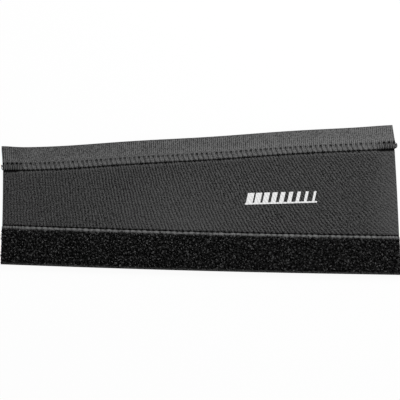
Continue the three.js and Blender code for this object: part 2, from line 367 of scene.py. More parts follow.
# %% [markdown]
# ## The hook tape
#
# From above, only the tape's woven back shows: fine ribs run across it, because the thick weft threads cross
# the whole width. The ribs are modelled, as they are the largest texture in the picture, and their crests
# are also painted paler, a painted highlight. The zigzag presses each of its legs into the tape and leaves a
# dimple at every needle hole. Each stitch draws the sewn edge in a little, which scallops it. The two free
# corners flare, because nothing holds them.
#
# A leg that goes down to the crease is sunk, and painted shade makes it dark. The cloth beside a leg that
# comes up again swells, and is painted paler there, a painted highlight. At the back-and-forth ends the
# thread lies so thick that the foot of the seam is painted black, for that dark thread and the shade it lies
# in.

# %% Where the hook tape lies
WEFT_RIB = 1.3
HOOK_TAPE_CORNER = 0.18
HOOK_TAPE_OVERHANG = (0.3, 0.9)
HOOK_TAPE_SLANT = 1.0

tape_place = HOOK_TAPE_EDGE + rim_spacing(HOOK_TAPE_WIDTH, 0.9, HOOK_TAPE_CORNER)
tape_place = finer(tape_place, NEEDLE_LINE - 1.2, 2.6, 0.26)
tape_distance = rim_spacing(UPPER_EDGE, 0.26, HOOK_TAPE_CORNER)
distance, place = np.meshgrid(tape_distance, tape_place, indexing="ij")
from_edge = place - HOOK_TAPE_EDGE
start = -HOOK_TAPE_OVERHANG[0]
end = UPPER_EDGE + HOOK_TAPE_OVERHANG[1] - HOOK_TAPE_SLANT * from_edge / HOOK_TAPE_WIDTH
distance = start + (end - start) * distance / UPPER_EDGE
rim = to_rim(distance, start, end, place, HOOK_TAPE_EDGE, WIDE_WIDTH)
at_ends = tacked(distance)
print("hook tape grid:", distance.shape)

# %% How the zigzag works on the tape
through, stitch, stitch_number = in_stitch(distance, zigzag_holes)
pull = stitch_pull[stitch_number]
to_hole = np.hypot(np.minimum(through, 1 - through) * stitch, place - NEEDLE_LINE)
down = (NEEDLE_LINE - place) / (NEEDLE_LINE - CREASE)
sewn = np.clip(down * 6, 0, 1) * (down < 1.2)
from_leg_down = (through - OUTER_SHARE * down) * stitch
from_leg_up = (through - 1 + (1 - OUTER_SHARE) * down) * stitch
leg = np.minimum(np.abs(from_leg_down), np.abs(from_leg_up))
going_down = hollow(from_leg_down, 0.35) * sewn
going_up = hollow(from_leg_up, 0.6) * sewn
between_legs = np.sin(np.pi * np.clip(down, 0, 1)) * (1 - hollow(leg, 0.7)) * (down > 0)
dive = (0.5 + 0.5 * np.cos(2 * np.pi * (through - OUTER_SHARE))) * pull
depth = hole_depth[stitch_number + (through > 0.5)]

# Painted shade: dark needle holes, a dark line under the sewn edge where each stitch dives, and at the
# back-and-forth ends a dark foot that stands for the thick thread and the shade it lies in.
dark_holes = (1.5 + 0.7 * at_ends) * hollow(to_hole, 0.6 + 0.25 * at_ends)
dark_edge = 2.0 * dive * hollow(from_edge, 0.2 + 0.28 * dive)
dark_legs = at_ends * np.clip((3.9 - from_edge) / 2.6, 0, 1) * (0.15 + hole_depth[stitch_number])
pinch = np.maximum.reduce(
    [
        np.clip((dark_holes + 0.3 * going_down) * depth, 0, 1),
        np.clip(dark_edge, 0, 1),
        np.clip(dark_legs * (1 - 0.6 * going_up), 0, 0.95),
        0.97 * at_ends * hollow(from_edge, 1.3),
    ]
)
# A painted highlight beside each rising leg.
bulge = going_up * np.clip(1.5 * down, 0, 1) * pull**2
print("darkest pinch:", round(float(pinch.max()), 2))

# %% Hook tape mesh
RIB_HEIGHT, LEG_GROOVE, PILLOW_HEIGHT, DIMPLE = 0.05, 0.2, 0.14, 0.45
SCALLOP = 0.7
START_FLARE = (-0.7, 0.8)
END_FLARE = (-0.3, 0.6)

rib = np.cos(2 * np.pi * distance / WEFT_RIB + 0.5 * np.sin(place * 1.7)) * np.clip(rim / 0.8, 0, 1)
face = hook_tape_top(place) + RIB_HEIGHT * rib - LEG_GROOVE * hollow(leg, 0.35) * sewn
face += PILLOW_HEIGHT * between_legs - DIMPLE * hollow(to_hole, 0.5) * np.minimum(depth, 1)
face -= rim_drop(rim, HOOK_TAPE_CORNER)
back = hook_tape_underside(place) + rim_drop(rim, HOOK_TAPE_CORNER)
near_start = hollow(distance, 8.0) * np.clip((place - SHEET_EDGE) / 8, 0, 1)
near_end = hollow(UPPER_EDGE - distance, 20.0) * np.clip((place - NEEDLE_LINE) / 10, 0, 1)
scalloped = place + SCALLOP * (dive - 0.5) * hollow(from_edge, 0.9)
hook_tape = sheet_object(
    "hook_tape_weave",
    (distance + START_FLARE[0] * near_start + END_FLARE[0] * near_end) / UPPER_EDGE,
    scalloped + START_FLARE[1] * near_start + END_FLARE[1] * near_end,
    face,
    back,
    pinch=pinch,
    ridge=0.5 * rib + 0.3 * between_legs,
    swollen=np.clip(0.45 * bulge, 0, 1),
    edge=hollow(rim, 0.5),
)

# %% [markdown]
# ## The loop tape's ground
#
# The loop tape is a flat ribbon with a bare woven selvedge on each side of its pile. The two straight seams
# run down the selvedges. Between two needle holes the ribbon swells, so its edge looks like a row of beads.
# Its own mark says how bare the ribbon is and how much painted light it gets: the upper selvedge and its
# beads are painted pale, a painted highlight, the lower selvedge less, as it lies in shade. Its needle holes
# get painted shade.

# %% Loop tape mesh
LOOP_TAPE_CORNER = 0.18
LOOP_TAPE_OVERHANG = 0.2
BEAD_HEIGHT, BEAD_REACH = 0.16, 0.35
LOWER_SELVEDGE_SHARE = 0.48

ribbon_place = rim_spacing(LOOP_TAPE_WIDTH, 1.5, LOOP_TAPE_CORNER)
for seam in (OUTER_SEAM, INNER_SEAM):
    ribbon_place = finer(ribbon_place, seam, 1.6, 0.25)
ribbon_distance = rim_spacing(LOWER_EDGE, 0.4, LOOP_TAPE_CORNER)
distance, place = np.meshgrid(ribbon_distance, ribbon_place, indexing="ij")
start, end = -LOOP_TAPE_OVERHANG, LOWER_EDGE + LOOP_TAPE_OVERHANG
distance = start + (end - start) * distance / LOWER_EDGE
rim = to_rim(distance, start, end, place, 0, LOOP_TAPE_WIDTH)
through, stitch, bead_number = in_stitch(distance, straight_holes)
from_seam = np.minimum(np.abs(place - OUTER_SEAM), np.abs(place - INNER_SEAM))
to_hole = np.hypot(np.minimum(through, 1 - through) * stitch, from_seam)
swollen = np.sin(np.pi * np.clip(through, 0, 1)) * bead_size[bead_number]
beaded = place + BEAD_REACH * (swollen - 0.2) * hollow(place - LOOP_TAPE_WIDTH, 0.5)
face = loop_tape_top(place) + BEAD_HEIGHT * swollen * hollow(from_seam, 1.2) - 0.3 * hollow(to_hole, 0.4)
face -= rim_drop(rim, LOOP_TAPE_CORNER)
back = loop_tape_underside(place) + rim_drop(rim, LOOP_TAPE_CORNER)
# Painted light: the upper selvedge and its beads are painted pale, the lower selvedge about half as pale.
upper_selvedge = np.clip((place - INNER_SEAM + 1.8) / 2.3, 0, 1) * (0.75 + 0.35 * swollen)
lower_selvedge = np.clip((3.4 - place) / 3.0, 0, 1)
loop_tape = sheet_object(
    "loop_tape_weave",
    distance / LOWER_EDGE,
    beaded,
    face,
    back,
    pinch=np.clip(hollow(to_hole, 0.5), 0, 1),
    selvedge=upper_selvedge + LOWER_SELVEDGE_SHARE * lower_selvedge,
)

# %% [markdown]
# ## Small helpers for node trees
#
# Geometry Nodes and shader trees are both graphs. Written by hand, each link takes three lines, so one helper
# adds a node, sets it up and connects its inputs in a single call. A number fills a socket, and another
# node's output is linked to it. Three more helpers write sums, products and weighted effects.


# %% Node helpers
def put(tree, kind, inputs=None, output=0, **settings):
    """Adds a node and returns an output; inputs maps socket names or numbers to values or outputs."""
    node = tree.nodes.new(kind)
    for key, value in settings.items():
        setattr(node, key, value)
    for key, value in (inputs or {}).items():
        socket = node.inputs[key]
        if isinstance(value, bpy.types.NodeSocket):
            tree.links.new(value, socket)
        else:
            socket.default_value = value
    return node.outputs[output] if node.outputs else node


def calc(tree, operation, first, second=0.0, third=0.0):
    return put(tree, "ShaderNodeMath", {0: first, 1: second, 2: third}, operation=operation)


def times(tree, first, second, plus=None):
    """first times second, and then plus where it is given."""
    if plus is None:
        return calc(tree, "MULTIPLY", first, second)
    return calc(tree, "MULTIPLY_ADD", first, second, plus)


def weigh(tree, base, *effects):
    """base plus every effect times its own share."""
    for effect, share in effects:
        base = times(tree, effect, share, base)
    return base


def new_tree(name, kind, sockets_in, sockets_out):
    """A node group with named inputs and outputs, and its two end nodes."""
    tree = bpy.data.node_groups.new(name, kind)
    for label, socket_type, default in sockets_in:
        socket = tree.interface.new_socket(label, in_out="INPUT", socket_type=socket_type)
        if default is not None:
            socket.default_value = default
    for label, socket_type in sockets_out:
        tree.interface.new_socket(label, in_out="OUTPUT", socket_type=socket_type)
    print("node group", name, "with", len(sockets_in), "inputs")
    return tree, tree.nodes.new("NodeGroupInput").outputs, tree.nodes.new("NodeGroupOutput").inputs


print("node helpers ready")


# %% [markdown]
# ## Shared effects for the materials
#
# Three effects come back in several cloths, so each is a shader group. Fibre grain is the fine fuzz and
# unevenness of spun yarn. Ribs turn a running number, such as a distance, into soft parallel ridges. The
# printed bars are a mask for ink: slanted bars that narrow to the right on a thin underline.

# %% Shader group: fibre grain
FLOAT, VECTOR = "NodeSocketFloat", "NodeSocketVector"

fibre_grain, ins, outs = new_tree(
    "fibre_grain",
    "ShaderNodeTree",
    [("Position mm", VECTOR, None), ("Size mm", FLOAT, 0.8), ("Strength", FLOAT, 1.0), ("Detail", FLOAT, 3.0)],
    [("Grain", FLOAT)],
)
tree = fibre_grain
fine = put(
    tree,
    "ShaderNodeTexNoise",
    {
        "Vector": ins["Position mm"],
        "Scale": calc(tree, "DIVIDE", 1.0, ins["Size mm"]),
        "Detail": ins["Detail"],
        "Roughness": 0.6,
    },
)
tree.links.new(times(tree, calc(tree, "SUBTRACT", fine, 0.5), ins["Strength"]), outs["Grain"])

# %% Shader group: ribs
ribs, ins, outs = new_tree(
    "ribs",
    "ShaderNodeTree",
    [("Distance mm", FLOAT, 0.0), ("Spacing mm", FLOAT, 1.3), ("Wobble", FLOAT, 0.0)],
    [("Ridge", FLOAT)],
)
tree = ribs
turns = calc(tree, "ADD", calc(tree, "DIVIDE", ins["Distance mm"], ins["Spacing mm"]), ins["Wobble"])
wave = calc(tree, "COSINE", times(tree, turns, 2 * math.pi))
tree.links.new(times(tree, wave, 0.5, 0.5), outs["Ridge"])

# %% Shader group: printed bars
BARS = 9
LINE_MM = 1.0
printed_bars, ins, outs = new_tree(
    "printed_bars",
    "ShaderNodeTree",
    [
        ("Position mm", VECTOR, None),
        ("Length mm", FLOAT, 47.0),
        ("Height mm", FLOAT, 7.5),
        ("Slant", FLOAT, 0.25),
        ("First bar", FLOAT, 0.82),
        ("Last bar", FLOAT, 0.3),
    ],
    [("Ink", FLOAT)],
)
tree = printed_bars
spot = put(tree, "ShaderNodeSeparateXYZ", {0: ins["Position mm"]}).node.outputs
level = calc(tree, "SUBTRACT", spot["X"], times(tree, spot["Y"], ins["Slant"]))
share = calc(tree, "ADD", calc(tree, "DIVIDE", level, ins["Length mm"]), 0.5)
counted = times(tree, share, BARS)
from_middle = calc(tree, "ABSOLUTE", calc(tree, "SUBTRACT", calc(tree, "FRACT", counted), 0.5))
narrowing = calc(tree, "DIVIDE", calc(tree, "FLOOR", counted), BARS - 1)
bar = put(tree, "ShaderNodeMix", {0: narrowing, 2: ins["First bar"], 3: ins["Last bar"]}, data_type="FLOAT")
in_bar = calc(tree, "LESS_THAN", from_middle, times(tree, bar, 0.5))
half_height = times(tree, ins["Height mm"], 0.5)
in_line = calc(tree, "LESS_THAN", calc(tree, "ADD", spot["Y"], half_height), LINE_MM)
in_height = calc(tree, "LESS_THAN", calc(tree, "ABSOLUTE", spot["Y"]), half_height)
from_centre = calc(tree, "ABSOLUTE", calc(tree, "SUBTRACT", share, 0.5))
inside = times(tree, in_height, calc(tree, "LESS_THAN", from_centre, 0.5))
tree.links.new(times(tree, calc(tree, "MAXIMUM", in_bar, in_line), inside), outs["Ink"])

# %% [markdown]
# ## Cloth materials
#
# Cloth scatters light from thousands of fibres, so it is rough, has almost no mirror highlight, and glows a
# little at a low angle, which the sheen layer gives. All patterns read object coordinates in millimetres, so
# they stay on the cloth in every view.


# %% Material helpers
def object_mm(tree):
    """The point on the piece, in millimetres."""
    here = put(tree, "ShaderNodeTexCoord", output="Object")
    return put(tree, "ShaderNodeVectorMath", {0: here, 1: (1000, 1000, 1000)}, operation="MULTIPLY")


def parts(tree, vector):
    return put(tree, "ShaderNodeSeparateXYZ", {0: vector}).node.outputs


def cloth_material(name, roughness, sheen, specular=0.0):
    """A material with its Principled shader, whose constant values sit on the shader's own sockets."""
    material = bpy.data.materials.new(name)
    material.use_nodes = True
    shader = material.node_tree.nodes["Principled BSDF"]
    shader.inputs["Roughness"].default_value = roughness
    shader.inputs["Sheen Weight"].default_value = sheen
    shader.inputs["Sheen Roughness"].default_value = 0.4
    shader.inputs["Specular IOR Level"].default_value = specular
    print("material", name)
    return material, material.node_tree, shader


def finish_cloth(tree, shader, colour, height_mm):
    """Gives a cloth its colour and its finest relief."""
    raised = put(tree, "ShaderNodeBump", {"Strength": 1.0, "Distance": MM, "Height": height_mm})
    tree.links.new(colour, shader.inputs["Base Color"])
    tree.links.new(raised, shader.inputs["Normal"])


def blend_shades(tree, factor, dark, light):
    """A colour between two greys or two colours, given as numbers or as outputs."""
    ends = [c if isinstance(c, bpy.types.NodeSocket) else (c, c, c, 1) for c in (dark, light)]
    return put(tree, "ShaderNodeMix", {0: factor, 6: ends[0], 7: ends[1]}, output=2, data_type="RGBA")


def mark_on(tree, name):
    """A number that the mesh carries at each point."""
    return put(tree, "ShaderNodeAttribute", output="Fac", attribute_name=name)


def grain(tree, here, size, **values):
    """Fibre grain of a size in millimetres; values fill the group's other inputs."""
    inputs = {"Position mm": here, "Size mm": size, **values}
    return put(tree, "ShaderNodeGroup", inputs, node_tree=fibre_grain)


def ribbed(tree, distance, spacing, wobble):
    """Soft ridges along a running number."""
    inputs = {"Distance mm": distance, "Spacing mm": spacing, "Wobble": wobble}
    return put(tree, "ShaderNodeGroup", inputs, node_tree=ribs)


# The grey of painted shade in creases and needle holes.
PINCHED = 0.001
print("material helpers ready")

# %% [markdown]
# ## Neoprene: a knit skin on foam
#
# The face is a fine knit whose rows stand as slanted ribs, almost upright at the narrow end and leaning
# further over towards the wide end, because the panel is cut from the cloth at an angle and stretched on the
# foam. The running number for the ribs is a small fitted polynomial in x and y. The ribs are made of
# short strokes and fade towards both ends of the panel; their relief is painted into the colour as painted
# shade between the ribs. Fine rows of knuckles cross them, and two broad patches are painted a little paler,
# a painted pool of light, the stronger one at the wide end. The ink lies on the knit, so it keeps the ribs
# under it, with the same painted shade. The cut rim shows the foam between its two thin skins.

# %% Knit face
RIB_SPACING = 1.95
ROW_SPACING = 1.1
RIB_LEAN = (0.37, 0.0029)
RIB_SPREAD = (0.929, -0.000578, -1.75e-6)
RIB_FADES = ((-130.0, -50.0, 0.5, 1.05), (60.0, 130.0, 1.0, 0.6))
NAP_PATCHES = (((-12, -14), (62, 40), 0.2), ((138, -4), (30, 75), 0.5))
MARK_PLACE = (53.6, 2.7)
MARK_TURN = 0.9
CLOTH_GREY = 0.0475
INK_GREY = 0.86

neoprene_knit, tree, shader = cloth_material("neoprene_knit", 0.9, 0.02)
here = object_mm(tree)
x, y, z = parts(tree, here)
lean = times(tree, x, RIB_LEAN[1], RIB_LEAN[0])
spread = times(tree, x, times(tree, x, RIB_SPREAD[2], RIB_SPREAD[1]), RIB_SPREAD[0])
run = times(tree, y, lean, times(tree, x, spread))
drift = grain(tree, here, 9.0, Strength=1.6)
snags = grain(tree, here, 2.6, Strength=0.38)
speckle = grain(tree, here, 0.6, Detail=1.0)
fuzz = grain(tree, here, 0.4)
along_rib = put(tree, "ShaderNodeCombineXYZ", {0: run, 1: times(tree, y, 0.45)})
strokes = grain(tree, along_rib, 1.1)
strength = times(tree, strokes, 2.6, 0.65)
for fade in RIB_FADES:
    strength = times(tree, strength, put(tree, "ShaderNodeMapRange", {"Value": x, **dict(enumerate(fade, 1))}))
ridge = ribbed(tree, run, RIB_SPACING, calc(tree, "ADD", drift, snags))
relief = times(tree, calc(tree, "SUBTRACT", ridge, 0.5), strength)
rows = ribbed(tree, y, ROW_SPACING, snags)
knuckles = times(tree, calc(tree, "SUBTRACT", rows, 0.5), ridge)
# The rib relief in the tone is painted shade between the ribs; the mark beside the fold is a painted
# highlight.
tone = weigh(tree, 0.47, (relief, 0.9), (speckle, 3.0), (fuzz, 1.5), (mark_on(tree, "stretched"), 0.17))
tone = weigh(tree, tone, (knuckles, 0.35), (strokes, 0.8))
# Two patches painted paler, a painted pool of light.
for middle, reach, paler in NAP_PATCHES:
    placed = {"Vector": here, "Location": (*middle, 0), "Scale": (*reach, 1000)}
    patch = put(tree, "ShaderNodeMapping", placed, vector_type="TEXTURE")
    nap = put(tree, "ShaderNodeTexGradient", {"Vector": patch}, output="Fac", gradient_type="SPHERICAL")
    tone = times(tree, nap, paler, tone)
knit = blend_shades(tree, tone, CLOTH_GREY * 0.05, CLOTH_GREY * 1.95)
shaded = blend_shades(tree, times(tree, mark_on(tree, "pinch"), 0.95), knit, PINCHED)
placed = {"Vector": here, "Location": (*MARK_PLACE, 0), "Rotation": (0, 0, math.radians(MARK_TURN))}
on_mark = put(tree, "ShaderNodeMapping", placed, vector_type="TEXTURE")
bars = put(tree, "ShaderNodeGroup", {"Position mm": on_mark}, node_tree=printed_bars)
upper_face = calc(tree, "GREATER_THAN", z, SHEET / 2)
# The ink keeps the painted rib shade.
ink = times(tree, times(tree, bars, upper_face), times(tree, relief, 0.25, 0.93))
height = weigh(tree, 0.0, (knuckles, 0.1), (relief, 0.2), (fuzz, 0.06))
finish_cloth(tree, shader, blend_shades(tree, ink, shaded, INK_GREY), height)

# %% Foam rim
foam_rim, tree, shader = cloth_material("foam_rim", 0.8, 0.0)
here = object_mm(tree)
cells = put(tree, "ShaderNodeTexVoronoi", {"Vector": here, "Scale": 4.0}, output="Distance")
from_core = calc(tree, "ABSOLUTE", calc(tree, "SUBTRACT", parts(tree, here)["Z"], SHEET / 2))
skin = put(tree, "ShaderNodeMapRange", {"Value": from_core, 1: 1.0, 2: 1.15})
foam = blend_shades(tree, cells, 0.006, 0.02)
finish_cloth(tree, shader, blend_shades(tree, skin, foam, CLOTH_GREY), times(tree, cells, 0.15))
panel.data.materials.append(neoprene_knit)
panel.data.materials.append(foam_rim)
print("neoprene dressed")

# %% [markdown]
# ## Woven tapes
#
# Both tapes are woven nylon. The hook tape's back is mid grey: its ribs are crossed by fine lengthwise warp
# lines, so ridge and warp together make a grid of small knuckles. Its cut and woven edges look darker. Its
# rib crests, its pillows and the cloth beside each rising leg are painted paler, a painted highlight; it is
# painted a little lighter towards the wide end, a painted pool of light; and its seam gets painted shade. The
# loop tape is black under the pile, but its bare upper selvedge is painted pale where it faces the light, a
# painted highlight, and the lower one a little.

# %% Hook tape weave
HOOK_TAPE_GREY = 0.094
WARP_SPACING = 1.1

hook_tape_cloth, tree, shader = cloth_material("hook_tape_cloth", 0.8, 0.02)
here = object_mm(tree)
x, y, _ = parts(tree, here)
speckle = grain(tree, here, 0.6, Detail=1.0)
fuzz = grain(tree, here, 0.3)
patches = grain(tree, here, 5.0, Strength=1.2)
warp = ribbed(tree, y, WARP_SPACING, speckle)
crossing = times(tree, mark_on(tree, "ridge"), calc(tree, "SUBTRACT", warp, 0.5))
# The ridge mark paints rib crests and pillows paler, a painted highlight.
ridge = times(tree, mark_on(tree, "ridge"), calc(tree, "ADD", patches, 0.7))
# The x term paints the tape lighter towards the wide end, a painted pool of light.
tone = weigh(tree, 0.5, (ridge, 1.2), (speckle, 2.8), (x, 0.001), (crossing, 1.2))
weave = blend_shades(tree, tone, HOOK_TAPE_GREY * 0.3, HOOK_TAPE_GREY * 1.75)
# A painted highlight beside each rising leg, then painted shade in the seam.
swollen = blend_shades(tree, mark_on(tree, "swollen"), weave, HOOK_TAPE_GREY * 2.6)
edged = blend_shades(tree, times(tree, mark_on(tree, "edge"), 0.5), swollen, HOOK_TAPE_GREY * 0.3)
sunk = blend_shades(tree, mark_on(tree, "pinch"), edged, PINCHED)
finish_cloth(tree, shader, sunk, weigh(tree, 0.0, (speckle, 0.06), (crossing, 0.16), (fuzz, 0.05)))

# %% Loop tape weave
SELVEDGE_GREY = 0.155
WEFT_SPACING = 0.6

loop_tape_cloth, tree, shader = cloth_material("loop_tape_cloth", 0.7, 0.0)
here = object_mm(tree)
speckle = grain(tree, here, 0.8)
patches = grain(tree, here, 1.5)
weft = ribbed(tree, parts(tree, here)["X"], WEFT_SPACING, speckle)
# The selvedges' pale is partly painted light; the needle holes get painted shade.
ragged = times(tree, patches, 1.4, mark_on(tree, "selvedge"))
bare = put(tree, "ShaderNodeMapRange", {"Value": ragged, 1: 0.25, 2: 1.0})
ground = blend_shades(tree, bare, 0.003, times(tree, speckle, 0.1, SELVEDGE_GREY))
sunk = blend_shades(tree, times(tree, mark_on(tree, "pinch"), 0.7), ground, 0.004)
finish_cloth(tree, shader, sunk, weigh(tree, 0.0, (speckle, 0.12), (weft, 0.05)))
for tape, cloth in ((hook_tape, hook_tape_cloth), (loop_tape, loop_tape_cloth)):
    tape.data.materials.append(cloth)
    tape.data.polygons.foreach_set("material_index", np.zeros(len(tape.data.polygons), np.int32))
print("tapes dressed")

# %% [markdown]
# ## Growing thread, loops and hooks
#
# Thread, pile and hooks are too many to place by hand. Each is one Geometry Nodes tree that turns a small
# source mesh, a line or a few thousand points, into the finished shape. Every tree ends the same way: its
# instances become real geometry and get their material. The result is kept as a plain mesh.

# %% Helpers for Geometry Nodes
GEOMETRY, INTEGER, MATERIAL = "NodeSocketGeometry", "NodeSocketInt", "NodeSocketMaterial"


def growing_tree(name, *sockets):
    """A Geometry Nodes group that takes geometry, the given values and a material."""
    inputs = [("Geometry", GEOMETRY, None), *sockets, ("Material", MATERIAL, None)]
    return new_tree(name, "GeometryNodeTree", inputs, [("Geometry", GEOMETRY)])


def end_tree(tree, ins, outs, grown, smooth):
    """Makes the grown instances real, smooths their shading if asked, and gives them the material."""
    grown = put(tree, "GeometryNodeRealizeInstances", {"Geometry": grown})
    if smooth:
        grown = put(tree, "GeometryNodeSetShadeSmooth", {0: grown})
    grown = put(tree, "GeometryNodeSetMaterial", {"Geometry": grown, "Material": ins["Material"]})
    tree.links.new(grown, outs["Geometry"])


def bent_filament(tree, resolution, thickness, wide, tall, shares, **caps):
    """One filament on a curve whose four control points are shares of a width, twice, and of a height."""
    corners = {}
    for label, share in zip(("Start", "Start Handle", "End Handle", "End"), shares):
        lengths = [times(tree, length, part) for length, part in zip((wide, wide, tall), share)]
        corners[label] = put(tree, "ShaderNodeCombineXYZ", dict(enumerate(lengths)))
    bend = put(tree, "GeometryNodeCurvePrimitiveBezierSegment", {"Resolution": resolution, **corners})
    section = {"Resolution": 4, "Radius": times(tree, thickness, 0.5)}
    ring = put(tree, "GeometryNodeCurvePrimitiveCircle", section)
    return put(tree, "GeometryNodeCurveToMesh", {"Curve": bend, "Profile Curve": ring, **caps})


def random_value(tree, low, high, seed, kind="FLOAT"):
    first, second, result = (0, 1, 0) if kind == "FLOAT_VECTOR" else (2, 3, 1)
    inputs = {first: low, second: high, "Seed": seed}
    return put(tree, "FunctionNodeRandomValue", inputs, output=result, data_type=kind)


def grow(name, source_mesh, tree, **values):
    """Runs a Geometry Nodes tree on a small source mesh and keeps the result as a plain mesh object."""
    source = bpy.data.objects.new(name + "_source", source_mesh)
    bpy.context.scene.collection.objects.link(source)
    modifier = source.modifiers.new("grow", "NODES")
    modifier.node_group = tree
    identifiers = {item.name: item.identifier for item in tree.interface.items_tree if item.in_out == "INPUT"}
    for label, value in values.items():
        modifier[identifiers[label.replace("_", " ")]] = value
    depsgraph = bpy.context.evaluated_depsgraph_get()
    mesh = bpy.data.meshes.new_from_object(source.evaluated_get(depsgraph), depsgraph=depsgraph)
    mesh.name = name
    source.modifiers.remove(modifier)
    bpy.data.objects.remove(source)
    return add_object(name, mesh)


# %% [markdown]
# ## Sewing thread
#
# Thread is plies twisted round each other. A plain round tube looks like wire, so the cross-section here has
# three lobes and is turned as it runs along the seam. One tree does that for every thread: it takes a line of
# points, smooths it, turns it and sweeps the lobed section along it.

# %% Twisted thread tree
PLIES = 3

twisted_thread, ins, outs = growing_tree(
    "twisted_thread", ("Thickness", FLOAT, THREAD * MM), ("Step", FLOAT, 0.35 * MM), ("Twist", FLOAT, 2.4 * MM)
)
tree = twisted_thread
line = put(tree, "GeometryNodeMeshToCurve", {"Mesh": ins["Geometry"]})
soft = put(tree, "GeometryNodeCurveSplineType", {"Curve": line}, spline_type="CATMULL_ROM")
even = put(tree, "GeometryNodeResampleCurve", {"Curve": soft, "Length": ins["Step"]}, mode="LENGTH")
along_thread = put(tree, "GeometryNodeSplineParameter", output="Length")
tilt = times(tree, calc(tree, "DIVIDE", along_thread, ins["Twist"]), 2 * math.pi)
turned = put(tree, "GeometryNodeSetCurveTilt", {"Curve": even, "Tilt": tilt})
ring = {"Resolution": 3 * PLIES, "Radius": times(tree, ins["Thickness"], 0.5)}
circle = put(tree, "GeometryNodeCurvePrimitiveCircle", ring)
number = put(tree, "GeometryNodeInputIndex")
lobe = calc(tree, "COSINE", times(tree, number, 2 * math.pi / PLIES))
spot = put(tree, "GeometryNodeInputPosition")
lobed = put(tree, "ShaderNodeVectorMath", {0: spot, 3: times(tree, lobe, 0.16, 0.86)}, operation="SCALE")
section = put(tree, "GeometryNodeSetPosition", {"Geometry": circle, "Position": lobed})
swept = put(tree, "GeometryNodeCurveToMesh", {"Curve": turned, "Profile Curve": section, "Fill Caps": True})
end_tree(tree, ins, outs, swept, smooth=False)

# %% [markdown]
# ## Thread materials
#
# The seam on the loop tape's upper selvedge is sewn in grey, the other two in a darker thread that nearly
# vanishes on the cloth. Both carry a fine fibre. The zigzag's thread is painted black where it dives into the
# crease, a painted shade, and painted pale where it comes up out of it, a painted highlight, which two marks
# on its points say.


# %% Thread materials
def thread_material(name, grey, sheen):
    material, tree, shader = cloth_material(name, 0.5, sheen, specular=0.05)
    here = object_mm(tree)
    fibre = grain(tree, here, 0.25)
    tone = calc(tree, "ADD", calc(tree, "ADD", fibre, grain(tree, here, 2.5, Strength=1.4)), 0.5)
    dyed = blend_shades(tree, tone, grey * 0.5, grey * 1.5)
    # Painted highlight where the thread comes up, painted shade where it lies in the crease.
    lit = blend_shades(tree, mark_on(tree, "lit"), dyed, grey * 2.7)
    sunk = blend_shades(tree, mark_on(tree, "sunk"), lit, PINCHED)
    finish_cloth(tree, shader, sunk, times(tree, fibre, 0.08))
    return material


grey_thread = thread_material("grey_thread", 0.18, 0.1)
dark_thread = thread_material("dark_thread", 0.06, 0.05)
print("thread dyed")

# %% [markdown]
# ## Laying the seams
#
# A lockstitch is two threads. The needle thread lies on the face and dives into each hole; the bobbin thread
# lies on the underside in its own furrow and is pulled up a little at each hole. The zigzag swings between
# the needle line on the tape and the crease beside it. A loop of loose thread stands at each of its ends.

# %% Straight seams
HOLE_DIP = 0.3
THREAD_RISES = ((0.2, 0.2), (0.5, 0.36), (0.8, 0.2))
BOBBIN_SAG = 0.35


def thread_piece(name, spots, length, material):
    """A twisted thread through spots given as (distance, place, height) in millimetres."""
    distance, place, height = np.array(spots).T
    points = lay(distance / length, place, height)
    edges = [(i, i + 1) for i in range(len(points) - 1)]
    # The thread is painted dark in the crease and pale just past it: painted shade and painted highlight.
    in_crease = (np.abs(place - CREASE) < 0.4).astype(float)
    coming_up = np.roll(in_crease, 1) + np.roll(in_crease, 2)
    source = mesh_with_marks(name, points, edges, [], sunk=in_crease, lit=coming_up)
    return grow(name, source, twisted_thread, Material=material)


def straight_needle_line(place):
    top = float(loop_tape_top(place))
    spots = [(-0.3, place, top + 0.1)]
    for start, end in stitches(straight_holes):
        spots += [(start, place, top - HOLE_DIP)]
        spots += [(start + (end - start) * share, place, top + rise) for share, rise in THREAD_RISES]
    return spots + [(straight_holes[-1], place, top - HOLE_DIP), (LOWER_EDGE + 0.3, place, top + 0.1)]


def straight_bobbin_line(place):
    depth = float(sheet_underside(place))
    spots = []
    for start, end in stitches(straight_holes):
        spots += [(start, place, depth), ((start + end) / 2, place, depth - BOBBIN_SAG)]
    return spots + [(straight_holes[-1], place, depth)]


threads = {}
for seam, place, dyed in (
    ("loop_outer_seam", OUTER_SEAM, dark_thread),
    ("loop_inner_seam", INNER_SEAM, grey_thread),
):
    for side, line in (("needle_thread", straight_needle_line), ("bobbin_thread", straight_bobbin_line)):
        node = f"{seam}_{side}"
        threads[node] = thread_piece(node + "_plies", line(place), LOWER_EDGE, dyed)

# %% The zigzag
START_KNOT = [(-0.4, -1.8, -0.3), (-1.0, -0.8, 0.0), (-0.4, 0.6, 0.3)]
START_KNOT += [(-1.1, 1.1, 0.2), (-0.7, -0.2, 0.4), (0.0, 0.9, 0.4)]
END_KNOT = [(0.7, 1.6, 0.1), (1.5, 0.8, 0.2), (1.7, -0.5, 0.0), (1.2, -1.7, -0.1)]
END_KNOT += [(0.7, -1.0, 0.3), (1.3, 0.2, 0.4), (0.8, 1.0, 0.4), (0.9, -0.2, 0.3)]
END_KNOT += [(0.4, -0.8, 0.3), (1.0, -1.3, 0.1), (1.5, -0.1, 0.5), (1.1, 0.6, 0.2)]
LEG_SINK = 0.04
TACKED_RISE = 0.25
CREASE_DIVE = 0.55


